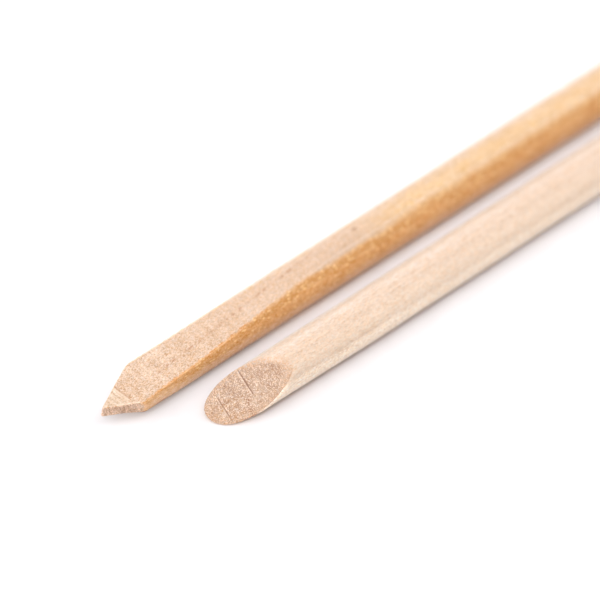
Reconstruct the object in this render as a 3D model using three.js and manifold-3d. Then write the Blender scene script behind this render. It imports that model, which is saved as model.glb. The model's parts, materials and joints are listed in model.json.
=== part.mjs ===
// A pair of wooden manicure sticks, the double-ended kind sold as cuticle pushers.
//
// Each stick is one piece of turned dowel. One end is a spear: the dowel is planed from above and
// below into a long shallow wedge, and the end of that blade is sawn to a point. The other end is a
// slant: a single flat cut across the dowel. The pair lies side by side on a table, turned end for
// end, so that the front of the pair shows one end of each kind.
//
// Millimetres, +Z up. The sticks run along Y with the front of the pair towards -Y, and the table
// is the plane z = 0. The origin is at the bottom centre of the pair.

import * as THREE from "three";
import { mergeVertices } from "three/addons/utils/BufferGeometryUtils.js";
import Module from "manifold-3d";

const wasm = await Module();
wasm.setup();

// Driving dimensions of a stick.
const STICK_LENGTH = 115;
const DOWEL_DIAMETER = 4; // across two opposite facets
const DOWEL_FACETS = 60; // a round dowel rests on one of them

// The spear end. Lengths are measured back from its point.
const RAMP_ANGLE = 3.93; // degrees between a planed face and the axis
const RAMP_STRAIGHT_END = 16; // where the flat of a planed face starts to ease out
const RAMP_END = 25.5; // where a planed face runs out at the surface of the dowel
const CREASE_HALF_THICKNESS = 0.64; // of the blade, where the last short facet starts
const CREASE_SETBACK = 2.1;
const POINT_HALF_THICKNESS = 0.47;
const POINT_OFFSET = 0.14; // of the point, to the right of the axis seen from above
const POINT_BLUNTNESS = 0.12; // width left across the very point
const LEFT_SHOULDER_SETBACK = 3.7;
const RIGHT_SHOULDER_SETBACK = 2.7;
const SHOULDER_HALF_WIDTH = 1.86;

// The slant end.
const SLANT_ANGLE = 30; // degrees between the cut and the axis

// How the pair lies.
const PAIR_SPACING = 5.75; // centre to centre
const SLANT_TIP_SETBACK = 6.4; // of the second stick's front tip, behind the point of the first
const SECOND_STICK_ROLL = 30; // degrees about its own axis, five facets of the dowel

const RADIUS = DOWEL_DIAMETER / 2;
const CLEAR = 2 * RADIUS; // how far a cutting outline reaches beyond the dowel
const EASING_STEPS = 6; // straight pieces that the eased end of a planed face is made of
const rad = THREE.MathUtils.degToRad;

// A closed geometry as a manifold-3d solid.
function solidOf(geometry) {
  const bare = geometry.clone();
  bare.deleteAttribute("normal");
  bare.deleteAttribute("uv");
  const merged = mergeVertices(bare, 1e-5);
  return new wasm.Manifold(
    new wasm.Mesh({
      numProp: 3,
      vertProperties: new Float32Array(merged.attributes.position.array),
      triVerts: new Uint32Array(merged.index.array),
    }),
  );
}

// A manifold-3d solid as a geometry with one normal per face.
function geometryOf(solid) {
  const mesh = solid.getMesh();
  const geometry = new THREE.BufferGeometry();
  geometry.setAttribute("position", new THREE.BufferAttribute(mesh.vertProperties, 3));
  geometry.setIndex(new THREE.BufferAttribute(mesh.triVerts, 1));
  const flat = geometry.toNonIndexed();
  flat.computeVertexNormals();
  return flat;
}

// The plain dowel along Y, centred on the origin, with a facet straight above and below the axis.
function dowel() {
  const acrossCorners = RADIUS / Math.cos(Math.PI / DOWEL_FACETS);
  const geometry = new THREE.CylinderGeometry(acrossCorners, acrossCorners, STICK_LENGTH, DOWEL_FACETS);
  geometry.rotateY(Math.PI / DOWEL_FACETS);
  return geometry;
}

// A prism whose outline is drawn in side view: the shape's x is the stick's Y, its y is Z.
function sidePrism(shape) {
  const geometry = new THREE.ExtrudeGeometry(shape, { depth: 2 * CLEAR, bevelEnabled: false });
  geometry.translate(0, 0, -CLEAR);
  // Extruded towards +Z, the prism is laid down so that its depth runs along X.
  geometry.applyMatrix4(
    new THREE.Matrix4().makeBasis(
      new THREE.Vector3(0, 1, 0),
      new THREE.Vector3(0, 0, 1),
      new THREE.Vector3(1, 0, 0),
    ),
  );
  return geometry;
}

// A prism whose outline is drawn from above: the shape's x is X, its y is the stick's Y.
function planPrism(shape) {
  const geometry = new THREE.ExtrudeGeometry(shape, { depth: 2 * CLEAR, bevelEnabled: false });
  geometry.translate(0, 0, -CLEAR);
  return geometry;
}

// Half the blade's thickness from the crease to where the planed face leaves the dowel.
function rampHalfThickness(setback) {
  const slope = Math.tan(rad(RAMP_ANGLE));
  const straight = CREASE_HALF_THICKNESS + slope * (Math.min(setback, RAMP_STRAIGHT_END) - CREASE_SETBACK);
  if (setback <= RAMP_STRAIGHT_END) {
    return straight;
  }
  // Past the straight, the slope falls off evenly, so that the face runs out gently.
  const eased = setback - RAMP_STRAIGHT_END;
  const easingLength = RAMP_END - RAMP_STRAIGHT_END;
  const endSlope = (2 * (RADIUS - straight)) / easingLength - slope;
  return straight + slope * eased + ((endSlope - slope) * eased * eased) / (2 * easingLength);
}

// The side view of everything that the two planed faces leave of the stick.
function spearSideOutline() {
  const back = -STICK_LENGTH / 2;
  const upper = [
    [0, POINT_HALF_THICKNESS],
    [CREASE_SETBACK, CREASE_HALF_THICKNESS],
    [RAMP_STRAIGHT_END, rampHalfThickness(RAMP_STRAIGHT_END)],
  ];
  for (let step = 1; step <= EASING_STEPS; step += 1) {
    const setback = RAMP_STRAIGHT_END + ((RAMP_END - RAMP_STRAIGHT_END) * step) / EASING_STEPS;
    upper.push([setback, rampHalfThickness(setback)]);
  }
  upper.push([RAMP_END, CLEAR], [STICK_LENGTH + CLEAR, CLEAR]);
  const lower = upper.map(([setback, half]) => [setback, -half]).reverse();
  return new THREE.Shape([...upper, ...lower].map(([setback, z]) => new THREE.Vector2(back + setback, z)));
}

// The view from above of the blade's point, with the rest of the stick left whole.
function spearPlanOutline() {
  const back = -STICK_LENGTH / 2;
  const farEnd = STICK_LENGTH / 2 + CLEAR;
  const leftTip = POINT_OFFSET - POINT_BLUNTNESS / 2;
  const rightTip = POINT_OFFSET + POINT_BLUNTNESS / 2;
  // Each sawn edge is carried on past its shoulder until it is clear of the dowel.
  const leftRun = (LEFT_SHOULDER_SETBACK * (leftTip + CLEAR)) / (leftTip + SHOULDER_HALF_WIDTH);
  const rightRun = (RIGHT_SHOULDER_SETBACK * (CLEAR - rightTip)) / (SHOULDER_HALF_WIDTH - rightTip);
  return new THREE.Shape([
    new THREE.Vector2(rightTip, back),
    new THREE.Vector2(CLEAR, back + rightRun),
    new THREE.Vector2(CLEAR, farEnd),
    new THREE.Vector2(-CLEAR, farEnd),
    new THREE.Vector2(-CLEAR, back + leftRun),
    new THREE.Vector2(leftTip, back),
  ]);
}

// The side view of what the slant cut leaves: the tip is at the bottom, and the cut faces up.
function slantSideOutline() {
  const tip = STICK_LENGTH / 2;
  const run = 1 / Math.tan(rad(SLANT_ANGLE));
  const farEnd = -STICK_LENGTH / 2 - CLEAR;
  return new THREE.Shape([
    new THREE.Vector2(farEnd, -CLEAR),
    new THREE.Vector2(tip + run * (CLEAR - RADIUS), -CLEAR),
    new THREE.Vector2(tip - run * (CLEAR + RADIUS), CLEAR),
    new THREE.Vector2(farEnd, CLEAR),
  ]);
}

// One double-ended stick, spear towards -Y and slant towards +Y, both working faces upwards.
function stickGeometry() {
  const stick = solidOf(dowel())
    .intersect(solidOf(sidePrism(spearSideOutline())))
    .intersect(solidOf(planPrism(spearPlanOutline())))
    .intersect(solidOf(sidePrism(slantSideOutline())));
  return geometryOf(stick);
}

// Amber-toned wood, for the stick whose spear is in front.
function amberWood() {
  return new THREE.MeshStandardMaterial({ color: 0xdca870, roughness: 0.55, metalness: 0 });
}

// Cream-coloured wood, for the stick whose slant cut is in front.
function creamWood() {
  return new THREE.MeshStandardMaterial({ color: 0xf0d6b8, roughness: 0.6, metalness: 0 });
}

function spearFrontStick(geometry) {
  const stick = new THREE.Mesh(geometry, amberWood());
  stick.name = "spear_front_stick";
  stick.position.set(-PAIR_SPACING / 2, 0, RADIUS);
  return stick;
}

// The second stick is rolled about its own axis and turned end for end.
function slantFrontStick(geometry) {
  const stick = new THREE.Mesh(geometry, creamWood());
  stick.name = "slant_front_stick";
  stick.rotation.z = Math.PI;
  const rolled = new THREE.Group();
  rolled.rotation.y = rad(SECOND_STICK_ROLL);
  rolled.position.set(PAIR_SPACING / 2, SLANT_TIP_SETBACK, RADIUS);
  rolled.add(stick);
  return rolled;
}

function stickPair() {
  const geometry = stickGeometry();
  const pair = new THREE.Group();
  pair.add(spearFrontStick(geometry), slantFrontStick(geometry));
  // The second stick starts further back, so the pair is moved to put its middle at the origin.
  pair.position.y = -SLANT_TIP_SETBACK / 2;
  return pair;
}

export default stickPair();
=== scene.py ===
"""The looks of a pair of double-ended wooden manicure sticks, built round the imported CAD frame.

Each CAD stick is replaced by one fine mesh of the same shape: a dowel with a planed spear end and
a slant-cut end, with softened arrises, planing ripples, raised grain and saw scratches. The wood
is procedural and follows each stick's own grain direction.

Shapes are worked out in millimetres in a stick's own frame: its spear points to -Y, its slant end
to +Y, and both planed faces are level. Blender objects are in metres.
"""

import json
import math

import bpy
import numpy as np
from mathutils import Matrix, Vector


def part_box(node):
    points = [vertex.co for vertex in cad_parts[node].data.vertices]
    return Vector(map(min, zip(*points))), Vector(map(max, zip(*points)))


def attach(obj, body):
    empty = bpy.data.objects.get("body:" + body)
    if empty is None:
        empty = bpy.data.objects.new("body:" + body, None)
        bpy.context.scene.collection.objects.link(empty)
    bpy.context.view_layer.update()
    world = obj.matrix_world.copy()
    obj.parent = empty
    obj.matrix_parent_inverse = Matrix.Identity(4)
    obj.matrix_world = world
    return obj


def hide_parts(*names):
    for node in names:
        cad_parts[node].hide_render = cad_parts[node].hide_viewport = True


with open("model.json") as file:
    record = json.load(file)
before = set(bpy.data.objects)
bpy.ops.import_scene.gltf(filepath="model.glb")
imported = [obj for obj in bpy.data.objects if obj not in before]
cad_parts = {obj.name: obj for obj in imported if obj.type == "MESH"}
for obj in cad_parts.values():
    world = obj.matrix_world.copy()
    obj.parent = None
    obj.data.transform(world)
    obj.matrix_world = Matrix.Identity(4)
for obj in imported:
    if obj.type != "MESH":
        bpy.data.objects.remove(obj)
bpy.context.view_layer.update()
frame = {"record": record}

MM = 0.001

# The spear end, in millimetres back from its point. The planed face itself comes from the frame.
RAMP_STRAIGHT_END = 16.0
RAMP_END = 25.5
POINT_OFFSET = 0.14
POINT_BLUNTNESS = 0.12
LEFT_SHOULDER_SETBACK = 3.7
RIGHT_SHOULDER_SETBACK = 2.7
SHOULDER_HALF_WIDTH = 1.86
LEFT_SHOULDER_SOFTNESS = 0.22
RIGHT_SHOULDER_SOFTNESS = 0.10

# The last strokes of the knife: a shallow bevel in front of a crease that runs across the face
# at a slant. The crease is CREASE_BACK behind the point where it is CREASE_X from the middle.
BEVEL_SLOPE = math.tan(math.radians(3.0))
CREASE_X = (-2.0, 0.86, 1.68)
CREASE_BACK = (1.53, 2.02, 2.63)
CREASE_MARK_END = 0.95

# A narrow chamfer along the right-hand edge of the point: the setbacks between which it starts
# and between which it ends, how wide it is and how steep.
CHAMFER_STARTS = (0.2, 1.7)
CHAMFER_ENDS = (2.4, 2.6)
CHAMFER_WIDTH = 0.20
CHAMFER_SLOPE = 0.3

# The toe: the lower corner of the point reaches further out than the upper one, and hangs lower.
TOE_REACH = 0.24
TOE_DROP = 0.10
TOE_LENGTH = 1.5
TOE_HALF_HEIGHT = 0.45

# The knife and the saw don't run quite true: how far they wander and how often per millimetre.
FACE_WANDER = ((0.010, 0.45), (0.006, 1.6))
SHOULDER_WANDER = (0.015, 2.5)

# Depths in millimetres between which a face comes to count as planed, and as sawn, and how far
# an arris has to be rounded off to show as crushed.
PLANED_DEPTH = (0.0, 0.02)
SAWN_DEPTH = (0.02, 0.30)
CRUSHED_ROUNDING = (0.004, 0.016)

# The relief of the wood: height in millimetres, cycles per millimetre on each axis, and finish.
RELIEF = (
    (0.022, (0.3, 0.05, 0.3), "any"),
    (0.012, (0.9, 0.16, 0.9), "unsawn"),
    (0.006, (3.4, 0.10, 3.4), "round"),
    (0.005, (7.0, 0.35, 7.0), "round"),
    (0.005, (0.6, 2.6, 0.0), "planed"),
    (0.005, (3.0, 0.6, 3.0), "planed"),
    (0.010, (6.0, 6.0, 6.0), "sawn"),
    (0.012, (12.0, 12.0, 12.0), "sawn"),
)
GROOVE_TAPER = 0.4
GROOVE_LIP_HEIGHT = 0.6
CUT_MARGIN = 0.5

# The grid of a stick: samples across a face and down a side, rings that close up the point, and
# the length over which the rings lean over until they lie along the slant cut.
FLAT_SAMPLES = 50
SIDE_SAMPLES = 40
LEAST_CORNER_ANGLE = math.radians(18)
POINT_CAP_RINGS = 6
SHEAR_LENGTH = 13.0
SOFTENING_ROUNDS = 3
SOFTENED_SPACING = 0.12

# The slant cut frays past its rim: by FRAY_LEAST all round and by FRAY_HEEL more at the heel,
# which is FRAY_ANGLE degrees round from the top. At the heel FRAY_LOSS of the sawn finish is
# gone at the rim, and FRAY_INSIDE is the share of the cut over which it fades inwards.
FRAY_LEAST = 0.08
FRAY_HEEL = 0.80
FRAY_LOSS = 0.55
FRAY_INSIDE = 0.22
FRAY_ANGLE = 30.0
FRAY_SPREAD = 42.0

# The singed band round a sawn face, and how softly a planed finish ends on each side of its
# arris, in millimetres.
RIM_WIDTH = 0.45
PLANED_BLEND = 0.22

# The camera stands off the front spear point and looks past it. Lens and sensor are in
# millimetres, and the rest in metres. Past SHARP_BEYOND the lens is stopped down.
VIEW_AZIMUTH = math.radians(51.5)
VIEW_ELEVATION = math.radians(53.6)
VIEW_DISTANCE = 0.310
LENS = 238.0
SENSOR = 36.0
AIM_RIGHT_OF_POINT = 0.01536
AIM_ABOVE_POINT = 0.00865
APERTURE = 0.0145
FOCUS_FROM_POINT = (0.003, 0.006, 0)
SHARP_BEYOND = 0.35
STOP_PER_METRE = 500

# The bands of the light tent: degrees from overhead towards +X, and strengths in front and behind.
# Between them the tent glows with TENT_STRENGTH, and a soft box on the right fills the shadows.
BANDS = ((-80, 3.2, 1.0), (-60, 2.0, 0.3), (-20, 2.4, 0.3), (0, 2.2, 0.3), (20, 6.2, 2.9))
BAND_HALF_WIDTH = 20
BEHIND_FROM = (-0.33, 0.33)
TENT_STRENGTH = 0.05
FILL_DIRECTION = (1.0, -0.35, 0.30)
FILL_DISTANCE = 0.7
FILL_SIZE = (0.5, 0.7)
FILL_POWER = 0.12
LIGHT_COLOUR = (1.0, 0.985, 1.0)

# The table: how far it reaches on each side, and the two whites that it is mottled with.
TABLE_REACH = 3.0
TABLE_WHITES = ((0.785, 0.785, 0.795, 1), (0.805, 0.805, 0.815, 1))


def smoothstep(low, high, value):
    t = np.clip((value - low) / (high - low), 0, 1)
    return t * t * (3 - 2 * t)


def soft_minimum(a, b, softness):
    """The smaller of the two, with the corner between them rounded off."""
    near = np.clip(1 - np.abs(a - b) / softness, 0, 1)
    return np.minimum(a, b) - near**2 * softness / 4


# ---------------------------------------------------------------------------------------------
# Noise for the mesh


def lattice_value(cells, seed):
    """A fixed number from -1 to 1 for each whole-number cell."""
    i = cells.astype(np.int64)
    h = i[..., 0] * 374761393 + i[..., 1] * 668265263 + i[..., 2] * 1440662683 + seed * 1274126177
    h &= 0xFFFFFFFF
    h = ((h ^ (h >> 13)) * 1103515245) & 0xFFFFFFFF
    h = ((h ^ (h >> 16)) * 2654435761) & 0xFFFFFFFF
    return (h ^ (h >> 15)) / 0x7FFFFFFF - 1.0


def noise(points, scale, seed):
    """Smooth noise from -1 to 1 at each point, its scale in cycles per millimetre on each axis."""
    p = points * np.asarray(scale, float)
    base = np.floor(p)
    t = p - base
    t = t * t * t * (t * (t * 6 - 15) + 10)
    total = np.zeros(p.shape[:-1])
    for corner in range(8):
        step = np.array([corner & 1, corner >> 1 & 1, corner >> 2 & 1])
        weight = np.prod(np.where(step == 1, t, 1 - t), axis=-1)
        total += weight * lattice_value(base + step, seed)
    return total


def wander(setback, cycles, seed):
    """Smooth noise from -1 to 1 along the stick."""
    points = np.stack([setback * 0 + 0.5, setback, setback * 0 + 0.5], axis=-1)
    return noise(points, (1, cycles, 1), seed)


# ---------------------------------------------------------------------------------------------
# What the frame says about the sticks


def mount(name):
    return next(m for m in frame["record"]["mounts"] if m["name"] == name)


class Stick:
    """A stick's size and its place in the frame, in millimetres.

    cut_middle is where the middle of the slant cut is along the stick, from the stick's middle.
    """

    def __init__(self, node, turned=False, roll=0.0):
        low, high = (np.array(corner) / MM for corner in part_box(node))
        self.node = node
        self.centre = (low + high) / 2
        self.length = high[1] - low[1]
        self.radius = (high[2] - low[2]) / 2
        self.cut_middle = self.length / 2 - slant_run() * self.radius
        self.turned = turned
        self.roll = roll

    def placed(self, points):
        """Points of the stick's own frame, in the row frame, in metres."""
        x, y, z = np.moveaxis(points, -1, 0)
        if self.turned:
            x, y = -x, -y
        sine, cosine = math.sin(self.roll), math.cos(self.roll)
        rolled = np.stack([x * cosine + z * sine, y, z * cosine - x * sine], axis=-1)
        return (rolled + self.centre) * MM


class PlanedFace:
    """The height of a planed face above the axis, along the spear end."""

    def __init__(self, stick):
        face = mount("spear_blade_face")
        _, along, up = face["axis"]
        self.slope = -along / up
        setback = face["pos_m"][1] / MM - (stick.centre[1] - stick.length / 2)
        self.height_at_point = face["pos_m"][2] / MM - stick.centre[2] - self.slope * setback
        self.radius = stick.radius

    def half_thickness(self, setback):
        straight = self.height_at_point + self.slope * np.minimum(setback, RAMP_STRAIGHT_END)
        # Past the straight, the slope falls off evenly until the face runs out of the dowel.
        at_straight_end = self.height_at_point + self.slope * RAMP_STRAIGHT_END
        easing = RAMP_END - RAMP_STRAIGHT_END
        end_slope = 2 * (self.radius - at_straight_end) / easing - self.slope
        eased = np.maximum(setback - RAMP_STRAIGHT_END, 0)
        curve = self.slope * eased + (end_slope - self.slope) * eased**2 / (2 * easing)
        return np.where(setback > RAMP_END, 2 * self.radius, straight + curve)


def slant_run():
    """How far the slant cut runs along the stick for each millimetre of height."""
    across = abs(mount("slant_cut_face")["axis"][1])
    return math.sqrt(1 - across**2) / across


def slant_stretch():
    """How far down the slant cut one goes for each millimetre along the stick."""
    run = slant_run()
    return math.hypot(run, 1) / run


def slant_roll():
    """The roll of the stick whose slant cut is in front, in radians."""
    x, _, z = mount("slant_cut_face")["axis"]
    return math.atan2(x, z)


# ---------------------------------------------------------------------------------------------
# The shape of a stick


def stations(length, knots, spacings):
    """Places along the stick from 0 to length, as far apart as the spacings say at the knots."""
    places = [0.0]
    while places[-1] < length:
        places.append(places[-1] + float(np.interp(places[-1], knots, spacings)))
    return np.array(places) * (length / places[-1])


def sections(stick, face, setback, seed):
    """The outline of each section as x, z, how planed it is, and how deep the saw has gone.

    The samples run clockwise as seen from the spear: the upper face, the right side, the lower
    face and the left side. A planed face is 1, the plain dowel 0, and they blend at the arris.
    """
    radius = stick.radius
    setback = setback[:, None]
    half = face.half_thickness(setback)
    for number, (size, cycles) in enumerate(FACE_WANDER):
        half += size * wander(setback, cycles, seed + number)
    corner = np.maximum(np.arccos(np.minimum(half / radius, 1)), LEAST_CORNER_ANGLE)
    left_tip = POINT_OFFSET - POINT_BLUNTNESS / 2
    right_tip = POINT_OFFSET + POINT_BLUNTNESS / 2
    left_limit = -left_tip + (SHOULDER_HALF_WIDTH + left_tip) * setback / LEFT_SHOULDER_SETBACK
    right_limit = right_tip + (SHOULDER_HALF_WIDTH - right_tip) * setback / RIGHT_SHOULDER_SETBACK
    size, cycles = SHOULDER_WANDER
    left_limit += size * wander(setback, cycles, seed + 2)
    right_limit += size * wander(setback, cycles, seed + 3)

    across = (np.arange(FLAT_SAMPLES) / FLAT_SAMPLES)[None]
    down = (np.arange(SIDE_SAMPLES) / SIDE_SAMPLES)[None]
    left = -soft_minimum(radius * np.sin(corner), left_limit, LEFT_SHOULDER_SOFTNESS)
    right = soft_minimum(radius * np.sin(corner), right_limit, RIGHT_SHOULDER_SOFTNESS)
    has_flat = smoothstep(*PLANED_DEPTH, radius - half)

    def level(start, end, sign):
        x = start + (end - start) * across
        height = np.minimum(half, np.sqrt(np.maximum(radius**2 - x**2, 0)))
        inside = np.minimum(np.abs(x - start), np.abs(end - x))
        planed = has_flat * (0.5 + 0.5 * np.clip(inside / PLANED_BLEND, 0, 1))
        return x, sign * height, planed, np.zeros_like(x)

    def upright(first_angle, limit, sign, softness):
        angle = first_angle + (math.pi - 2 * corner) * down
        round_reach = np.abs(radius * np.sin(angle))
        reach = soft_minimum(round_reach, limit, softness)
        outside = radius * (math.pi - 2 * corner) * np.minimum(down, 1 - down)
        planed = has_flat * (0.5 - 0.5 * np.clip(outside / PLANED_BLEND, 0, 1))
        return sign * reach, radius * np.cos(angle), planed, round_reach - reach

    parts = [
        level(left, right, 1),
        upright(corner, right_limit, 1, RIGHT_SHOULDER_SOFTNESS),
        level(right, left, -1),
        upright(math.pi + corner, left_limit, -1, LEFT_SHOULDER_SOFTNESS),
    ]
    return [np.concatenate(values, axis=1) for values in zip(*parts)]


def in_front_of_crease(setback, x):
    """Distance in front of the crease, negative behind it."""
    return np.interp(x, CREASE_X, CREASE_BACK) - setback


def on_chamfer(setback, x):
    """1 at the right-hand edge of the point, falling to 0 where its chamfer ends."""
    run = RIGHT_SHOULDER_SETBACK / math.hypot(RIGHT_SHOULDER_SETBACK, SHOULDER_HALF_WIDTH)
    right_tip = POINT_OFFSET + POINT_BLUNTNESS / 2
    edge = right_tip + (SHOULDER_HALF_WIDTH - right_tip) * setback / RIGHT_SHOULDER_SETBACK
    inward = np.clip(1 - (edge - x) * run / CHAMFER_WIDTH, 0, 1)
    return inward * smoothstep(*CHAMFER_STARTS, setback) * (1 - smoothstep(*CHAMFER_ENDS, setback))


def knife_work(setback, x, z):
    """Where the bevel, the chamfer and the toe put each sample: new setbacks and heights."""
    z = z - np.sign(z) * BEVEL_SLOPE * np.maximum(in_front_of_crease(setback, x), 0)
    z = z - (z > 0) * CHAMFER_SLOPE * CHAMFER_WIDTH * on_chamfer(setback, x)
    reach = 1 - smoothstep(0, TOE_LENGTH, setback)
    lower = np.clip((TOE_HALF_HEIGHT - z) / (2 * TOE_HALF_HEIGHT), 0, 1)
    return setback - TOE_REACH * reach * lower, z - TOE_DROP * reach * (z < 0)


def worn_in(setback, x, z, flats, rim):
    """How far each sample is worn in towards the axis, in millimetres.

    Each flat is (middle, half width, depth, from, to): degrees round from the top towards +X,
    millimetres, and the setbacks between which it comes in. A negative depth swells the dowel.
    Each rim bevel is (middle, half width, depth, length), and runs back from the slant cut.
    """
    angle = np.degrees(np.arctan2(x, z))
    worn = np.zeros_like(x)
    for middle, half_width, depth, fade_from, fade_to in flats:
        offset = ((angle - middle + 180) % 360 - 180) / half_width
        deepest = depth * smoothstep(fade_from, fade_to, setback)
        worn += deepest * np.clip(1 - offset**2, 0, 1)
    for middle, half_width, depth, length in rim:
        offset = ((angle - middle + 180) % 360 - 180) / half_width
        left = (setback[-1] - setback) / length
        worn += depth * np.clip(1 - offset**2, 0, 1) * np.clip(1 - left, 0, 1)
    return worn


def closed_grid(stick, face, knots, spacings, cut_rings, seed, flats, rim):
    """The stick's surface as rings of points from the point's middle to the slant cut's middle.

    Returns the points, and masks that say for each one how much it is planed, sawn and so on.
    """
    run = slant_run()
    end = stick.cut_middle + stick.length / 2
    setback = stations(end, knots, spacings)
    x, z, planed, sawn_depth = sections(stick, face, setback, seed)
    reached, z = knife_work(setback[:, None] + 0 * x, x, z)
    smaller = 1 - worn_in(setback[:, None], x, z, flats, rim) / stick.radius
    x, z = x * smaller, z * smaller
    shear = np.clip((setback - (end - SHEAR_LENGTH)) / SHEAR_LENGTH, 0, 1)[:, None]
    y = reached - stick.length / 2 - shear * run * z
    side = np.stack([x, y, z], axis=-1)

    point_middle = side[0].mean(axis=0)
    cut_middle = np.array([0, stick.cut_middle, 0])
    inward = np.linspace(0, 1, POINT_CAP_RINGS, endpoint=False)[::-1][:, None, None]
    point_cap = point_middle + (1 - inward) * (side[0] - point_middle)
    outward = np.linspace(0, 1, cut_rings + 1)[1:-1][::-1][:, None, None]
    cut_cap = cut_middle + outward * (side[-1] - cut_middle)
    grid = np.concatenate([point_cap, side, cut_cap])

    # The slant saw cut frays on both sides of its rim, most of all along its heel.
    angle = np.degrees(np.arctan2(x, z))
    heel = np.exp(-(((angle - FRAY_ANGLE) / FRAY_SPREAD) ** 2))
    at_rim = 1 - FRAY_LOSS * heel
    past_rim = setback[-1] - setback[:, None]
    fray = at_rim * (1 - smoothstep(0, 1, past_rim / (FRAY_LEAST + FRAY_HEEL * heel)))

    masks = {name: np.zeros(grid.shape[:2]) for name in ("planed", "sawn", "rim", "chamfer")}
    masks["crease"] = np.full(grid.shape[:2], -1.0)
    sides = slice(POINT_CAP_RINGS, POINT_CAP_RINGS + len(setback))
    upper = z > 0
    masks["planed"][sides] = planed
    masks["sawn"][:] = 1
    near_rim = smoothstep(1 - FRAY_INSIDE, 1, outward[:, :, 0])
    masks["sawn"][sides.stop :] = 1 - FRAY_LOSS * heel[-1] * near_rim
    masks["sawn"][sides] = np.maximum(smoothstep(*SAWN_DEPTH, sawn_depth), fray)
    masks["rim"][sides] = np.clip(1 - past_rim / RIM_WIDTH, 0, 1)
    masks["rim"][sides.stop :] = outward[:, :, 0] ** 4
    crease = np.clip(in_front_of_crease(setback[:, None], x), -1, 3)
    masks["crease"][sides] = np.where(upper & (x < CREASE_MARK_END), crease, -1)
    masks["chamfer"][sides] = np.where(upper, on_chamfer(setback[:, None], x), 0)
    return grid, masks


def softened(grid):
    """The grid with its arrises rounded, by averaging each point with its neighbours."""
    spacing = np.linalg.norm(np.diff(grid, axis=0), axis=-1).max(axis=1)
    near = (np.maximum(spacing[:-1], spacing[1:]) < SOFTENED_SPACING)[:, None, None]
    for _ in range(SOFTENING_ROUNDS):
        grid = 0.5 * grid + 0.25 * (np.roll(grid, 1, axis=1) + np.roll(grid, -1, axis=1))
        middle = 0.5 * grid[1:-1] + 0.25 * (grid[:-2] + grid[2:])
        grid = grid.copy()
        grid[1:-1] = np.where(near, middle, grid[1:-1])
    return grid


def outward_normals(grid):
    around = np.roll(grid, -1, axis=1) - np.roll(grid, 1, axis=1)
    along = np.gradient(grid, axis=0)
    normal = np.cross(around, along)
    length = np.linalg.norm(normal, axis=-1, keepdims=True)
    return normal / np.maximum(length, 1e-9)


def groove(across, along, start, end, width, depth):
    """A scratch along one line, with a raised lip on one side, tapering out at both ends."""
    taper = smoothstep(start, start + GROOVE_TAPER, along)
    taper = taper * (1 - smoothstep(end - GROOVE_TAPER, end, along))
    cut = np.exp(-((across / width) ** 2))
    lip = GROOVE_LIP_HEIGHT * np.exp(-(((across + 2 * width) / width) ** 2))
    return depth * taper * (lip - cut)


def relief(stick, grid, planed, sawn, seed, scratches):
    """How far each point stands proud of the plain shape, in millimetres.

    Each scratch is (how far down the cut, from x, to x, width, depth).
    """
    x, y, _ = np.moveaxis(grid, -1, 0)
    round_part = (1 - planed) * (1 - sawn)
    finishes = {"any": 1, "unsawn": 1 - sawn, "round": round_part, "planed": planed, "sawn": sawn}
    height = np.zeros_like(x)
    for number, (size, cycles, finish) in enumerate(RELIEF):
        height += size * noise(grid, cycles, seed + number) * finishes[finish]
    cut_start = stick.length / 2 - 2 * slant_run() * stick.radius
    on_cut = (y > cut_start - CUT_MARGIN) * sawn
    down_cut = (stick.cut_middle - y) * slant_stretch()
    for middle, start, end, width, depth in scratches:
        height += groove(down_cut - middle, x, start, end, width, depth) * on_cut
    return height


def mesh_from_grid(name, points, pole_start, pole_end):
    """A closed mesh from rings of points and a point at each end."""
    rings, around = points.shape[:2]
    vertices = np.concatenate([points.reshape(-1, 3), pole_start[None], pole_end[None]])
    first, last = rings * around, rings * around + 1
    ring = np.arange(around)
    after = (ring + 1) % around
    quads = []
    for r in range(rings - 1):
        low, high = r * around, (r + 1) * around
        quads.append(np.stack([low + ring, low + after, high + after, high + ring], axis=1))
    quads = np.concatenate(quads)
    top = (rings - 1) * around
    start_fan = np.stack([np.full(around, first), after, ring], axis=1)
    end_fan = np.stack([np.full(around, last), top + ring, top + after], axis=1)
    fans = np.concatenate([start_fan, end_fan])
    mesh = bpy.data.meshes.new(name)
    mesh.from_pydata(vertices.tolist(), [], quads.tolist() + fans.tolist())
    mesh.polygons.foreach_set("use_smooth", np.ones(len(mesh.polygons), bool))
    mesh.update()
    return mesh


def add_attribute(mesh, name, kind, values):
    attribute = mesh.attributes.new(name, kind, "POINT")
    key = "vector" if kind == "FLOAT_VECTOR" else "value"
    attribute.data.foreach_set(key, np.ascontiguousarray(values, np.float32).ravel())


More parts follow.
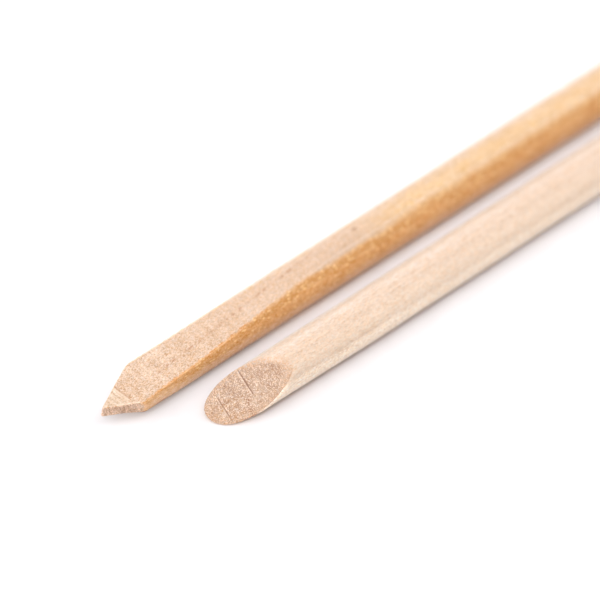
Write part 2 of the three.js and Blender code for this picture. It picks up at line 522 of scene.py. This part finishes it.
def build_stick(stick, name, body, material, grid_settings, seed, scratches, flats, rim):
    """Model one stick and put it in the place of its CAD solid.

    The grid settings are places along the stick, the ring spacings at those places, and how many
    rings close up the slant cut.
    """
    face = PlanedFace(spear_front)
    sharp, masks = closed_grid(stick, face, *grid_settings, seed, flats, rim)
    grid = softened(sharp)
    rounded_off = np.linalg.norm(grid - sharp, axis=-1)
    proud = relief(stick, grid, masks["planed"], masks["sawn"], seed, scratches)
    shaped = grid + outward_normals(grid) * proud[..., None]
    poles = [shaped[0].mean(axis=0), shaped[-1].mean(axis=0)]
    placed = stick.placed(shaped)
    mesh = mesh_from_grid(name, placed, *(stick.placed(pole) for pole in poles))

    def with_poles(values, start, end):
        return np.concatenate([values.reshape(-1, *np.shape(start)), [start], [end]])

    add_attribute(mesh, "stick_mm", "FLOAT_VECTOR", with_poles(grid, *poles))
    masks["arris"] = smoothstep(*CRUSHED_ROUNDING, rounded_off)
    for mask, values in masks.items():
        at_poles = (0.0, 1.0) if mask == "sawn" else (0.0, 0.0)
        add_attribute(mesh, mask, "FLOAT", with_poles(values, *at_poles))
    mesh.materials.append(material)
    piece = bpy.data.objects.new(name, mesh)
    bpy.context.scene.collection.objects.link(piece)
    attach(piece, body)
    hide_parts(stick.node)


# ---------------------------------------------------------------------------------------------
# Wood


def linear(red, green, blue):
    """A colour given as 0 to 255 on screen, as linear light."""

    def channel(value):
        value /= 255
        return value / 12.92 if value <= 0.04045 else ((value + 0.055) / 1.055) ** 2.4

    return channel(red), channel(green), channel(blue), 1.0


GRAIN_GAIN = 7.0
STROKE_TAPER = 0.3
DARKEST_TONE = (0.15, 0.12, 0.10)


class Graph:
    """Short names for the shader nodes that the wood, the table and the sky are made of."""

    def __init__(self, name):
        self.material = bpy.data.materials.new(name)
        self.material.use_nodes = True
        self.nodes = self.material.node_tree.nodes
        self.links = self.material.node_tree.links
        self.shader = self.nodes["Principled BSDF"]

    @classmethod
    def of_tree(cls, tree):
        """A graph in a node tree that already exists."""
        graph = cls.__new__(cls)
        graph.nodes, graph.links = tree.nodes, tree.links
        return graph

    def feed(self, socket, value):
        if isinstance(value, bpy.types.NodeSocket):
            self.links.new(value, socket)
        else:
            socket.default_value = value

    def attribute(self, name, output):
        node = self.nodes.new("ShaderNodeAttribute")
        node.attribute_name = name
        return node.outputs[output]

    def maths(self, operation, a, b=0.0):
        node = self.nodes.new("ShaderNodeMath")
        node.operation = operation
        for socket, value in zip(node.inputs, (a, b)):
            self.feed(socket, value)
        return node.outputs[0]

    def add(self, a, b):
        return self.maths("ADD", a, b)

    def times(self, a, b):
        return self.maths("MULTIPLY", a, b)

    def scaled(self, vector, scale, offset=(0, 0, 0)):
        node = self.nodes.new("ShaderNodeVectorMath")
        node.operation = "MULTIPLY_ADD"
        self.feed(node.inputs[0], vector)
        node.inputs[1].default_value = scale
        node.inputs[2].default_value = offset
        return node.outputs[0]

    def noise(self, vector, scale, detail=2.0, offset=(0, 0, 0), roughness=0.5):
        """Noise from 0 to 1, mostly near 0.5."""
        node = self.nodes.new("ShaderNodeTexNoise")
        self.links.new(self.scaled(vector, scale, offset), node.inputs["Vector"])
        node.inputs["Scale"].default_value = 1.0
        node.inputs["Detail"].default_value = detail
        node.inputs["Roughness"].default_value = roughness
        return node.outputs[0]

    def cells(self, vector, scale, offset=(0, 0, 0)):
        """Distance to the nearest of some scattered points, and that point's own random number."""
        node = self.nodes.new("ShaderNodeTexVoronoi")
        self.links.new(self.scaled(vector, scale, offset), node.inputs["Vector"])
        node.inputs["Scale"].default_value = 1.0
        split = self.nodes.new("ShaderNodeSeparateColor")
        self.links.new(node.outputs["Color"], split.inputs[0])
        return node.outputs["Distance"], split.outputs[0]

    def step(self, value, low, high, to_low=0.0, to_high=1.0):
        node = self.nodes.new("ShaderNodeMapRange")
        node.interpolation_type = "SMOOTHSTEP"
        for socket, number in zip(node.inputs, (value, low, high, to_low, to_high)):
            self.feed(socket, number)
        return node.outputs[0]

    def bell(self, value, middle, width):
        """1 where the value is at the middle, falling to 0 a few widths away."""
        offset = self.times(self.add(value, -middle), 1 / width)
        return self.maths("POWER", math.e, self.times(self.times(offset, offset), -1.0))

    def mix(self, share, a, b):
        node = self.nodes.new("ShaderNodeMix")
        node.data_type = "RGBA"
        for index, value in ((0, share), (6, a), (7, b)):
            self.feed(node.inputs[index], value)
        return node.outputs[2]

    def grain(self, vector, scale, detail=2.0, offset=(0, 0, 0), roughness=0.5):
        """Noise about zero, mostly between -1 and 1."""
        above_middle = self.add(self.noise(vector, scale, detail, offset, roughness), -0.5)
        return self.times(above_middle, GRAIN_GAIN)

    def total(self, *terms):
        """The sum of values times their weights."""
        result = self.times(*terms[0])
        for value, weight in terms[1:]:
            result = self.add(result, self.times(value, weight))
        return result

    def toned(self, colour, value, strength):
        """The colour, darker and browner where the value is below zero, lighter above it."""
        spread = self.nodes.new("ShaderNodeVectorMath")
        spread.operation = "SCALE"
        spread.inputs[0].default_value = strength
        self.feed(spread.inputs["Scale"], value)
        one_more = self.nodes.new("ShaderNodeVectorMath")
        one_more.operation = "ADD"
        one_more.inputs[1].default_value = (1, 1, 1)
        self.links.new(spread.outputs[0], one_more.inputs[0])
        least = self.nodes.new("ShaderNodeVectorMath")
        least.operation = "MAXIMUM"
        least.inputs[1].default_value = DARKEST_TONE
        self.links.new(one_more.outputs[0], least.inputs[0])
        product = self.nodes.new("ShaderNodeVectorMath")
        product.operation = "MULTIPLY"
        self.feed(product.inputs[0], colour[:3] if isinstance(colour, tuple) else colour)
        self.links.new(least.outputs[0], product.inputs[1])
        return product.outputs[0]

    def stroke(self, across, along, middle, width, start, end):
        """A thin straight mark with soft ends."""
        line = self.bell(across, middle, width)
        line = self.times(line, self.step(along, start, start + STROKE_TAPER))
        return self.times(line, self.step(along, end - STROKE_TAPER, end, 1.0, 0.0))


# The masks on each mesh: crease is the distance in front of the crease, and the rest are shares.
MASKS = ("planed", "sawn", "rim", "chamfer", "crease", "arris")

# The grain of the wood, as noise: cycles per millimetre on each axis, detail, offset, roughness.
GRAINS = {
    "broad": ((1.1, 0.05, 1.1), 2.0, (7.0, 0.0, 2.0), 0.5),
    "fibres": ((5.0, 0.55, 5.0), 2.0, (1.0, 5.0, 9.0), 0.6),
    "speckle": ((6.0, 2.2, 6.0), 2.0, (9.0, 2.0, 3.0), 0.6),
    "dust": ((13.0, 6.5, 13.0), 1.0, (3.0, 6.0, 1.0), 0.5),
    "grit": ((8.0, 5.0, 8.0), 2.0, (3.0, 6.0, 1.0), 0.6),
    "fine": ((19.0, 7.0, 19.0), 1.0, (8.0, 2.0, 5.0), 0.5),
    "patches": ((1.6, 0.7, 1.6), 2.0, (5.0, 3.0, 8.0), 0.5),
    "warmth": ((5.0, 3.0, 5.0), 2.0, (8.0, 8.0, 3.0), 0.5),
    "wandering": ((0.0, 0.25, 0.0), 3.0, (1.0, 4.0, 2.0), 0.5),
    "rows": ((0.5, 2.6, 0.5), 2.0, (4.0, 1.0, 6.0), 0.5),
    "lanes": ((1.9, 0.06, 1.9), 2.0, (2.0, 9.0, 3.0), 0.5),
    "wobble": ((0.0, 0.6, 0.0), 2.0, (0.0, 0.0, 0.0), 0.5),
    "beads": ((2.0, 2.8, 2.0), 2.0, (0.0, 3.0, 0.0), 0.5),
    "end_dust": ((20.0, 11.0, 20.0), 1.0, (6.0, 1.0, 2.0), 0.5),
    "end_grit": ((9.0, 7.0, 9.0), 1.0, (1.0, 3.0, 2.0), 0.5),
    "upright_fibres": ((9.0, 9.0, 1.6), 2.0, (4.0, 2.0, 2.0), 0.5),
    "saw_rows": ((0.7, 5.0, 0.7), 2.0, (2.0, 4.0, 6.0), 0.5),
}

# The streaks of the bevel: cycles per millimetre across and along its crease, and detail.
CREASE_STREAKS = ((5.0, 0.8, 0.0), 2.0)
STREAK_MIX = {"dust": 0.7, "grit": 0.4}
STREAK_SHARE = 0.9

# Scattered short marks: cells per millimetre, offset, and a mark's size as a share of its cell.
DASHES = ((9.5, 2.4, 9.5), (5.3, 2.1, 0.4), 0.55)
FLECKS = ((6.0, 2.6, 6.0), (0.3, 0.1, 0.8), 0.50)

# How much of each grain shows in each finish, in the fringe of one finish on the next, in how
# far the zones of the skin wander round the dowel (in degrees), and in the bump.
SKIN_MIX = {"speckle": 0.75, "dust": 0.55, "fibres": 0.30, "broad": 0.15, "patches": 0.20}
ROUGH_MIX = {"grit": 0.8, "dust": 0.5}
PLANED_MIX = {"fine": 1.15, "grit": 0.62, "rows": 0.38, "lanes": 0.25, "patches": 0.22}
SAWN_MIX = {"end_dust": 1.25, "end_grit": 0.60, "saw_rows": 0.25, "patches": 0.25}
FRINGE_MIX = {"speckle": 0.5, "dust": 0.5}
ZONE_WANDER = {"wandering": 3.5, "fibres": 1.6, "speckle": 1.2}
BUMP_MIX = {"speckle": 0.10, "fibres": 0.08, "dust": 0.06}
DASH_BUMP = -0.4
SAWN_BUMP = 0.15

# How far the warm patches shift red, green and blue.
WARMTH = (-0.015, 0.02, 0.07)

# The width of the strips in which a rough zone fades out, and how far from the top the skimmed
# part ends, in degrees.
ZONE_EDGE = 4
SKIMMED_TURN = (24, 34)

# The planed face is most ruffled up to the first setback and calmer from the second on.
RUFFLED_SETBACK = (3, 18)
CALM_SHARE = 0.53

# The growth line: its place across the face, its drift per millimetre, and how it is broken up.
GROWTH_LINE_X = 0.75
GROWTH_LINE_DRIFT = 0.0664
GROWTH_LINE_WOBBLE = 0.06
GROWTH_LINE_WIDTH = 0.10
GROWTH_LINE_FROM = (4.0, 6.0)
BEADS = (-0.3, 1.0)
BEAD_SHARE = 0.7
UNBROKEN_SHARE = 0.12

# The pale mark is a painted highlight on the bevel side of the crease, the dark one painted shade
# behind it.
# A pale and a dark mark beside the crease: distance in front of it, width, strength and tone.
CREASE_MARKS = ((0.12, 0.06, 0.5, "arris_tone"), (-0.04, 0.06, 0.45, "line_tone"))
FRESH_SHARE = 0.9
BEVEL_BLEND = 0.08

# The pale marks on the chamfer are partly painted highlight, where its facet catches the light.
# Crushed fibres on the chamfer: where on its mask they show, and how grit breaks them up.
CHAMFER_MEETS = (0.05, 0.6)
CHAMFER_PALE_MARKS = (-1.5, 0.5, 0.35, 0.9)

# The setbacks between which upright fibres show in the sawn shoulders of the spear.
SHOULDER_FIBRES = (20, 30)
SHOULDER_FIBRE_SHARE = 0.8

# A scratch: its dark line and its pale lip as distance down the cut and width, in millimetres.
SCRATCH_LINE = (0.03, 0.05)
SCRATCH_LIP = (-0.09, 0.04)
LIP_LONGER = 0.3
LIP_SHARE = 0.55

# How grit breaks up the singed rim of a sawn face, and the peeled fibres round it: from and to
# on the noise, and from and to in strength.
SINGED = (-0.4, 1.2, 0.0, 0.7)
PEELING = (-1.0, 1.0, 0.0, 0.7)

# How the finishes meet: the fringe's strength, where on its mask each finish takes over, and how
# far the tone of the skin wraps over the arris behind the point.
FRINGE = 0.22
PLANED_MEETS = (0.40, 0.62)
ARRIS_MEETS = (0.5, 1.0)
SAWN_MEETS = (0.22, 0.80)
SAWN_FRINGE = {"end_grit": 0.24, "end_dust": 0.24}
PEELED_BAND = (0.45, 0.30)
WRAP_FROM = (2.5, 4.5)
WRAP = -0.25

# The surface: the share of speckle in the roughness, and the sheen of fine loose fibres.
SPECKLED_ROUGHNESS = 0.02
SPECULAR = 0.28
SHEEN = 0.15
SHEEN_ROUGHNESS = 0.4


class Wood(Graph):
    """The material of one stick, with the places, masks and grains that its finishes share."""

    def __init__(self, name, look, stick):
        super().__init__(name)
        self.look = look
        self.place = self.attribute("stick_mm", "Vector")
        self.masks = {mask: self.attribute(mask, "Fac") for mask in MASKS}
        split = self.nodes.new("ShaderNodeSeparateXYZ")
        self.links.new(self.place, split.inputs[0])
        self.x, self.y, z = split.outputs
        self.turn = self.times(self.maths("ARCTAN2", self.x, z), math.degrees(1))
        self.from_point = self.add(self.y, stick.length / 2)
        below_middle = self.add(self.times(self.y, -1.0), stick.cut_middle)
        self.down_cut = self.times(below_middle, slant_stretch())
        self.grains = {kind: self.grain(self.place, *numbers) for kind, numbers in GRAINS.items()}
        self.around = self.add(self.turn, self.blended(ZONE_WANDER))
        self.dashes = self.spots(DASHES, look["dash_share"])
        self.flecks = self.spots(FLECKS, look["fleck_share"])

    def blended(self, mix):
        """The sum of some grains by their shares."""
        return self.total(*((self.grains[kind], share) for kind, share in mix.items()))

    def spots(self, kind, share):
        """Scattered soft marks, one in some of the cells: 1 in the middle of one, 0 outside."""
        scale, offset, size = kind
        distance, own = self.cells(self.place, scale, offset)
        chosen = self.step(own, 1 - share - 0.02, 1 - share + 0.02)
        return self.times(self.step(distance, size * 0.3, size, 1.0, 0.0), chosen)

    def warmed(self, colour):
        return self.toned(colour, self.grains["warmth"], WARMTH)


def skin_colour(wood):
    """The round dowel: tones in zones that run along it with ragged sides, dashes and flecks."""
    look = wood.look
    skin = look["skin"][0][1]
    for (from_turn, to_turn), tone in look["skin"][1:]:
        skin = wood.mix(wood.step(wood.around, from_turn, to_turn), skin, tone)
    skin = wood.toned(skin, wood.blended(SKIN_MIX), look["skin_texture"])
    skin = wood.warmed(skin)
    for (from_turn, to_turn), strength in look["rough_zones"]:
        zone = wood.times(wood.step(wood.around, from_turn - ZONE_EDGE, from_turn), strength)
        zone = wood.times(zone, wood.step(wood.around, to_turn, to_turn + ZONE_EDGE, 1.0, 0.0))
        rough = wood.times(wood.blended(ROUGH_MIX), zone)
        skin = wood.toned(skin, rough, look["skin_texture"])
    skin = wood.mix(wood.times(wood.dashes, look["dash"]), skin, look["dash_tone"])
    return wood.mix(wood.times(wood.flecks, look["fleck"]), skin, look["fleck_tone"])


def growth_line(wood):
    """How much of the broken growth line shows: it wanders down the planed face in beads."""
    wobble = wood.times(wood.grains["wobble"], GROWTH_LINE_WOBBLE)
    drift = wood.add(wood.x, wood.times(wood.from_point, GROWTH_LINE_DRIFT))
    beads = wood.step(wood.grains["beads"], *BEADS)
    line = wood.bell(wood.add(drift, wobble), GROWTH_LINE_X, GROWTH_LINE_WIDTH)
    line = wood.times(line, wood.total((beads, BEAD_SHARE), (1.0, UNBROKEN_SHARE)))
    return wood.times(line, wood.step(wood.from_point, *GROWTH_LINE_FROM))


def with_fresh_bevel(wood, colour):
    """The planed colour with the fresher cut at the point, streaked along its crease."""
    look, crease = wood.look, wood.masks["crease"]
    join = wood.nodes.new("ShaderNodeCombineXYZ")
    wood.links.new(crease, join.inputs[0])
    wood.links.new(wood.x, join.inputs[1])
    streaks = wood.grain(join.outputs[0], *CREASE_STREAKS)
    streaked = wood.add(wood.times(streaks, STREAK_SHARE), wood.blended(STREAK_MIX))
    fresh = wood.toned(look["fresh"], streaked, look["planed_texture"])
    bevel = wood.times(wood.step(crease, 0.0, BEVEL_BLEND), FRESH_SHARE)
    colour = wood.mix(bevel, colour, fresh)
    # Painted highlight and painted shade on either side of the crease.
    for middle, width, strength, tone in CREASE_MARKS:
        mark = wood.times(wood.bell(crease, middle, width), strength)
        colour = wood.mix(mark, colour, look[tone])
    # Pale marks on the chamfer: crushed fibres and a painted highlight.
    pale_marks = wood.step(wood.grains["grit"], *CHAMFER_PALE_MARKS)
    crushed_and_lit = wood.times(wood.step(wood.masks["chamfer"], *CHAMFER_MEETS), pale_marks)
    return wood.mix(crushed_and_lit, colour, look["arris_tone"])


def planed_face_colour(wood):
    """Planed faces: open vessels as dots, and faint ripples left across by the plane."""
    look = wood.look
    calmed = wood.step(wood.from_point, *RUFFLED_SETBACK, 1.0, CALM_SHARE)
    ruffled = wood.times(wood.blended(PLANED_MIX), calmed)
    colour = wood.warmed(wood.toned(look["planed"], ruffled, look["planed_texture"]))
    colour = wood.mix(growth_line(wood), colour, look["line_tone"])
    return with_fresh_bevel(wood, colour)


def sawn_face_colour(wood):
    """Sawn faces: the dark ends of the vessels, scratches of the saw and a singed rim."""
    look = wood.look
    at_spear = wood.step(wood.from_point, *SHOULDER_FIBRES, 1.0, 0.0)
    upright = wood.times(wood.grains["upright_fibres"], at_spear)
    speckled = wood.add(wood.blended(SAWN_MIX), wood.times(upright, SHOULDER_FIBRE_SHARE))
    colour = wood.warmed(wood.toned(look["sawn"], speckled, look["sawn_texture"]))
    for middle, start, end, depth in look["scratches"]:
        offset, width = SCRATCH_LINE
        dark = wood.stroke(wood.down_cut, wood.x, middle + offset, width, start, end)
        colour = wood.mix(wood.times(dark, depth), colour, look["scratch_tone"])
        offset, width = SCRATCH_LIP
        lip = wood.stroke(wood.down_cut, wood.x, middle + offset, width, start, end + LIP_LONGER)
        colour = wood.mix(wood.times(lip, LIP_SHARE * depth), colour, look["arris_tone"])
    singed = wood.times(wood.masks["rim"], wood.step(wood.grains["end_grit"], *SINGED))
    return wood.mix(singed, colour, look["rim_tone"])


def wood_colour(wood):
    """All finishes together: fibres carry each one a little way past its edge."""
    look, masks = wood.look, wood.masks
    fringe = wood.times(wood.blended(FRINGE_MIX), FRINGE)
    wrap = wood.step(wood.from_point, *WRAP_FROM, 0.0, WRAP)
    planed = wood.add(wood.add(masks["planed"], fringe), wrap)
    # Where the plane ran out it skimmed the top of the dowel and took the tone off it.
    top = wood.step(wood.maths("ABSOLUTE", wood.around), *SKIMMED_TURN, 1.0, 0.0)
    skimmed = wood.step(wood.from_point, look["skim_from"], look["skim_to"], 1.0, 0.0)
    planed = wood.maths("MAXIMUM", wood.step(planed, *PLANED_MEETS), wood.times(skimmed, top))
    colour = wood.mix(planed, skin_colour(wood), planed_face_colour(wood))

    crushed = wood.step(wood.add(masks["arris"], fringe), *ARRIS_MEETS)
    colour = wood.mix(wood.times(crushed, look["arris"]), colour, look["arris_tone"])
    frayed = wood.add(masks["sawn"], wood.blended(SAWN_FRINGE))
    colour = wood.mix(wood.step(frayed, *SAWN_MEETS), colour, sawn_face_colour(wood))
    peeling = wood.step(wood.grains["end_grit"], *PEELING)
    peeled = wood.times(wood.bell(frayed, *PEELED_BAND), peeling)
    colour = wood.mix(wood.times(peeled, look["peel"]), colour, look["peel_tone"])
    for turn_at, y_at, turn_size, y_size, strength in look["stains"]:
        stain = wood.bell(wood.turn, turn_at, turn_size)
        stain = wood.times(stain, wood.bell(wood.y, y_at, y_size))
        colour = wood.mix(wood.times(stain, strength), colour, look["stain_tone"])
    return colour


def wood_material(name, look, stick):
    """Unvarnished sanded wood: a toned skin, pale planed faces and speckled sawn ends."""
    wood = Wood(name, look, stick)
    surface = wood.shader.inputs
    wood.feed(surface["Base Color"], wood_colour(wood))
    rough = wood.add(look["roughness"], wood.times(wood.grains["speckle"], SPECKLED_ROUGHNESS))
    wood.feed(surface["Roughness"], rough)
    wood.feed(surface["Specular IOR Level"], SPECULAR)
    # Fine loose fibres pale the wood where it is seen edge on.
    wood.feed(surface["Sheen Weight"], SHEEN)
    wood.feed(surface["Sheen Roughness"], SHEEN_ROUGHNESS)

    height = wood.add(wood.blended(BUMP_MIX), wood.times(wood.dashes, DASH_BUMP))
    pitted = wood.times(wood.grains["end_dust"], wood.masks["sawn"])
    bump = wood.nodes.new("ShaderNodeBump")
    bump.inputs["Strength"].default_value = 1.0
    bump.inputs["Distance"].default_value = look["bump"]
    wood.feed(bump.inputs["Height"], wood.add(height, wood.times(pitted, SAWN_BUMP)))
    wood.feed(surface["Normal"], bump.outputs[0])
    return wood.material


# Warm underside, partly painted light: stands in for a glow through the wood into the contact
# shadow.
UNDERSIDE = linear(238, 178, 112)
PALE_SIDE = linear(224, 206, 188)
LEFT_SIDE = linear(210, 184, 158)
# Painted shade: darkens the lower edge of the side, where the contact shadow falls.
PAINTED_CONTACT_SHADE = linear(176, 110, 66)
TOP_LEFT = linear(209, 177, 143)
PALE_ORANGE = linear(219, 185, 145)
AMBER = linear(206, 150, 90)
AMBER_SIDE = linear(219, 161, 102)
# Pale lower side: the wood's own tone, lightened further as painted light bounced off the table.
AMBER_LOW = linear(231, 184, 140)

# What the two woods have in common.
BOTH_WOODS = {
    "planed": linear(206, 177, 152),
    "planed_texture": (0.155, 0.225, 0.31),
    "fresh": linear(205, 181, 157),
    "line_tone": linear(176, 128, 96),
    "rim_tone": linear(206, 158, 116),
    "arris_tone": linear(236, 214, 192),
    "bump": 0.000015,
}

# The skin is a list of tones, each with the angles from the top towards +X, in degrees, between
# which it takes over from the tone before. The textures say how much red, green and blue vary.
# Shares and strengths run from 0 to 1. Rough zones are ((from, to), strength). Scratches are (how
# far down the cut, from x, to x, strength), stains are (angle, y, their sizes, strength), and the
# skimmed top ends between two setbacks: all in degrees and millimetres. The bump is in metres.
AMBER_WOOD = {
    **BOTH_WOODS,
    "skin": [
        (None, UNDERSIDE),
        ((-150, -120), PALE_SIDE),
        ((-54, -42), LEFT_SIDE),
        ((-36, -26), TOP_LEFT),
        ((-14, -6), PALE_ORANGE),
        ((16, 42), AMBER),
        ((44, 60), AMBER_SIDE),
        # Lower side, lightened partly as painted light bounced up from the table.
        ((70, 90), AMBER_LOW),
        # Painted shade along the lower edge, next to the table.
        ((100, 110), PAINTED_CONTACT_SHADE),
        ((122, 136), UNDERSIDE),
    ],
    "skin_texture": (0.085, 0.19, 0.41),
    "rough_zones": [],
    "skim_from": 24,
    "skim_to": 31,
    "sawn": linear(197, 163, 138),
    "sawn_texture": (0.29, 0.36, 0.42),
    "peel": 0.3,
    "peel_tone": linear(232, 190, 146),
    "scratches": [(0.8, -1.2, 1.0, 0.5)],
    "scratch_tone": linear(150, 104, 80),
    "arris": 0.30,
    "stains": [(-12, -31.9, 4.0, 0.22, 0.7)],
    "stain_tone": linear(140, 86, 54),
    "dash_share": 0.20,
    "dash": 0.25,
    "dash_tone": linear(168, 104, 54),
    "fleck_share": 0.42,
    "fleck": 0.95,
    "fleck_tone": linear(246, 208, 150),
    "roughness": 0.55,
}

CREAM_WOOD = {
    **BOTH_WOODS,
    "skin": [
        # Warm underside, partly painted light standing in for a glow through the wood.
        (None, linear(240, 184, 124)),
        # Painted shade: a dark band on the underside next to the table, which also darkens its
        # bounce.
        ((-120, -110), linear(178, 124, 84)),
        # Nearly white lower side: the wood's own pale tone, lightened as painted light from the
        # table.
        ((-102, -94), linear(253, 233, 210)),
        ((-48, -34), linear(230, 207, 184)),
        ((-10, 14), linear(218, 195, 174)),
        ((28, 46), linear(219, 201, 185)),
        ((44, 60), linear(209, 189, 169)),
        # Grey-white edge: painted sheen where the side is seen edge on.
        ((62, 78), linear(212, 202, 192)),
        ((140, 170), linear(240, 184, 124)),
    ],
    "skin_texture": (0.070, 0.095, 0.13),
    "rough_zones": [((-80, -36), 0.9)],
    "skim_from": 20,
    "skim_to": 26,
    "sawn": linear(186, 157, 134),
    "sawn_texture": (0.34, 0.48, 0.60),
    "peel": 0.6,
    "peel_tone": linear(236, 190, 148),
    "scratches": [(0.3, -0.52, 2.0, 0.85), (-2.25, -1.37, 0.95, 0.7)],
    "scratch_tone": linear(112, 68, 46),
    "arris": 0.20,
    "stains": [(-36, 44.0, 0.7, 2.2, 0.5), (80, 45.6, 2.0, 0.3, 0.6)],
    "stain_tone": linear(176, 122, 84),
    "dash_share": 0.30,
    "dash": 0.42,
    "dash_tone": linear(190, 146, 106),
    "fleck_share": 0.15,
    "fleck": 0.25,
    "fleck_tone": linear(240, 226, 210),
    "roughness": 0.6,
}


# ---------------------------------------------------------------------------------------------
# Stage, light and camera


def plain_white():
    graph = Graph("white_table")
    position = graph.nodes.new("ShaderNodeNewGeometry").outputs["Position"]
    mottle = graph.step(graph.noise(position, (400, 400, 400)), 0.3, 0.7)
    graph.links.new(graph.mix(mottle, *TABLE_WHITES), graph.shader.inputs["Base Color"])
    graph.shader.inputs["Roughness"].default_value = 0.7
    return graph.material


def floor():
    far = TABLE_REACH
    mesh = bpy.data.meshes.new("table_top")
    corners = [(-far, -far, 0), (far, -far, 0), (far, far, 0), (-far, far, 0)]
    mesh.from_pydata(corners, [], [(0, 1, 2, 3)])
    mesh.materials.append(plain_white())
    top = bpy.data.objects.new("table_top", mesh)
    bpy.context.scene.collection.objects.link(top)


def fill_light():
    """An area light that looks at the sticks from the right."""
    light = bpy.data.lights.new("fill_light", "AREA")
    light.shape = "RECTANGLE"
    light.size, light.size_y = FILL_SIZE
    light.energy = FILL_POWER
    light.color = LIGHT_COLOUR
    lamp = bpy.data.objects.new("fill_light", light)
    towards = Vector(FILL_DIRECTION).normalized()
    lamp.location = towards * FILL_DISTANCE
    lamp.rotation_mode = "QUATERNION"
    lamp.rotation_quaternion = towards.to_track_quat("Z", "Y")
    bpy.context.scene.collection.objects.link(lamp)


def studio_light():
    """A white tent over the table, lit in bands that run along the sticks from front to back.

    A band is brightest along its middle and fades out BAND_HALF_WIDTH degrees to either side of
    it, and it has one strength in front of the sticks and another behind them.
    """
    world = bpy.data.worlds.new("studio")
    world.use_nodes = True
    graph = Graph.of_tree(world.node_tree)
    coordinates = graph.nodes.new("ShaderNodeTexCoord")
    split = graph.nodes.new("ShaderNodeSeparateXYZ")
    graph.links.new(coordinates.outputs["Generated"], split.inputs[0])
    x, y, z = split.outputs
    lean = graph.times(graph.maths("ARCTAN2", x, z), math.degrees(1))
    behind = graph.step(y, *BEHIND_FROM)
    total = TENT_STRENGTH
    for middle, front, back in BANDS:
        offset = graph.maths("ABSOLUTE", graph.add(lean, -middle))
        across = graph.add(1.0, graph.times(offset, -1 / BAND_HALF_WIDTH))
        across = graph.maths("MAXIMUM", across, 0.0)
        strength = graph.add(front, graph.times(behind, back - front))
        total = graph.add(total, graph.times(across, strength))
    # The camera itself sees plain white past the edge of the table.
    path = graph.nodes.new("ShaderNodeLightPath")
    seen = graph.nodes.new("ShaderNodeMix")
    for index, value in ((0, path.outputs["Is Camera Ray"]), (2, total), (3, 1.0)):
        graph.feed(seen.inputs[index], value)
    background = graph.nodes["Background"]
    background.inputs["Color"].default_value = (*LIGHT_COLOUR, 1)
    graph.links.new(seen.outputs[0], background.inputs["Strength"])
    bpy.context.scene.world = world
    fill_light()


def camera(point):
    """A long macro lens over the front spear point, sharp there and soft towards the back."""
    right = Vector((math.cos(VIEW_AZIMUTH), math.sin(VIEW_AZIMUTH), 0))
    outward = Vector((math.sin(VIEW_AZIMUTH), -math.cos(VIEW_AZIMUTH), 0))
    back = outward * math.cos(VIEW_ELEVATION) + Vector((0, 0, math.sin(VIEW_ELEVATION)))
    up = back.cross(right)
    lens = bpy.data.cameras.new("camera")
    lens.lens = LENS
    lens.sensor_width = SENSOR
    lens.clip_start = 0.01
    lens.clip_end = 20
    holder = bpy.data.objects.new("camera", lens)
    aim = point + right * AIM_RIGHT_OF_POINT + up * AIM_ABOVE_POINT
    holder.location = aim + back * VIEW_DISTANCE
    holder.rotation_mode = "QUATERNION"
    holder.rotation_quaternion = Matrix((right, up, back)).transposed().to_quaternion()
    bpy.context.scene.collection.objects.link(holder)
    bpy.context.scene.camera = holder

    focus = bpy.data.objects.new("focus", None)
    focus.location = point + Vector(FOCUS_FROM_POINT)
    bpy.context.scene.collection.objects.link(focus)
    lens.dof.use_dof = True
    lens.dof.focus_object = focus
    # From further away the lens is stopped down, so that the whole pair is sharp.
    stop = lens.dof.driver_add("aperture_fstop").driver
    stop.type = "SCRIPTED"
    reach = stop.variables.new()
    reach.name = "reach"
    reach.type = "LOC_DIFF"
    reach.targets[0].id = holder
    reach.targets[1].id = focus
    widest = LENS * MM / APERTURE
    stop.expression = f"{widest:.3f} + {STOP_PER_METRE} * max(0, reach - {SHARP_BEYOND})"


spear_front = Stick("spear_front_stick")
slant_front = Stick("slant_front_stick", turned=True, roll=slant_roll())

build_stick(
    spear_front,
    "spear_front_stick_wood",
    "spear_front_body",
    wood_material("amber_wood", AMBER_WOOD, spear_front),
    ([0, 5, 12, 26, 40, 95, 112], [0.05, 0.055, 0.12, 0.25, 0.6, 0.6, 0.15], 26),
    seed=11,
    scratches=[(0.8, -1.2, 1.0, 0.05, 0.02)],
    flats=[(70, 30, 0.02, 24, 40), (-85, 35, -0.07, 8, 20)],
    rim=[],
)
build_stick(
    slant_front,
    "slant_front_stick_wood",
    "slant_front_body",
    wood_material("cream_wood", CREAM_WOOD, slant_front),
    ([0, 5, 26, 40, 80, 100, 112], [0.09, 0.12, 0.4, 0.6, 0.5, 0.16, 0.06], 62),
    seed=29,
    scratches=[(0.3, -0.52, 2.0, 0.045, 0.008), (-2.25, -1.37, 0.95, 0.045, 0.008)],
    flats=[(-80, 60, 0.17, 98, 111), (-165, 42, 0.12, 98, 111), (-85, 50, -0.07, 10, 40)],
    rim=[(-80, 55, 0.12, 0.35), (-40, 30, 0.06, 0.35)],
)

floor()
studio_light()
front_point = Vector(
    (
        (spear_front.centre[0] + POINT_OFFSET) * MM,
        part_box("spear_front_stick")[0].y,
        spear_front.centre[2] * MM,
    )
)
camera(front_point)
bpy.context.scene.view_settings.view_transform = "Standard"
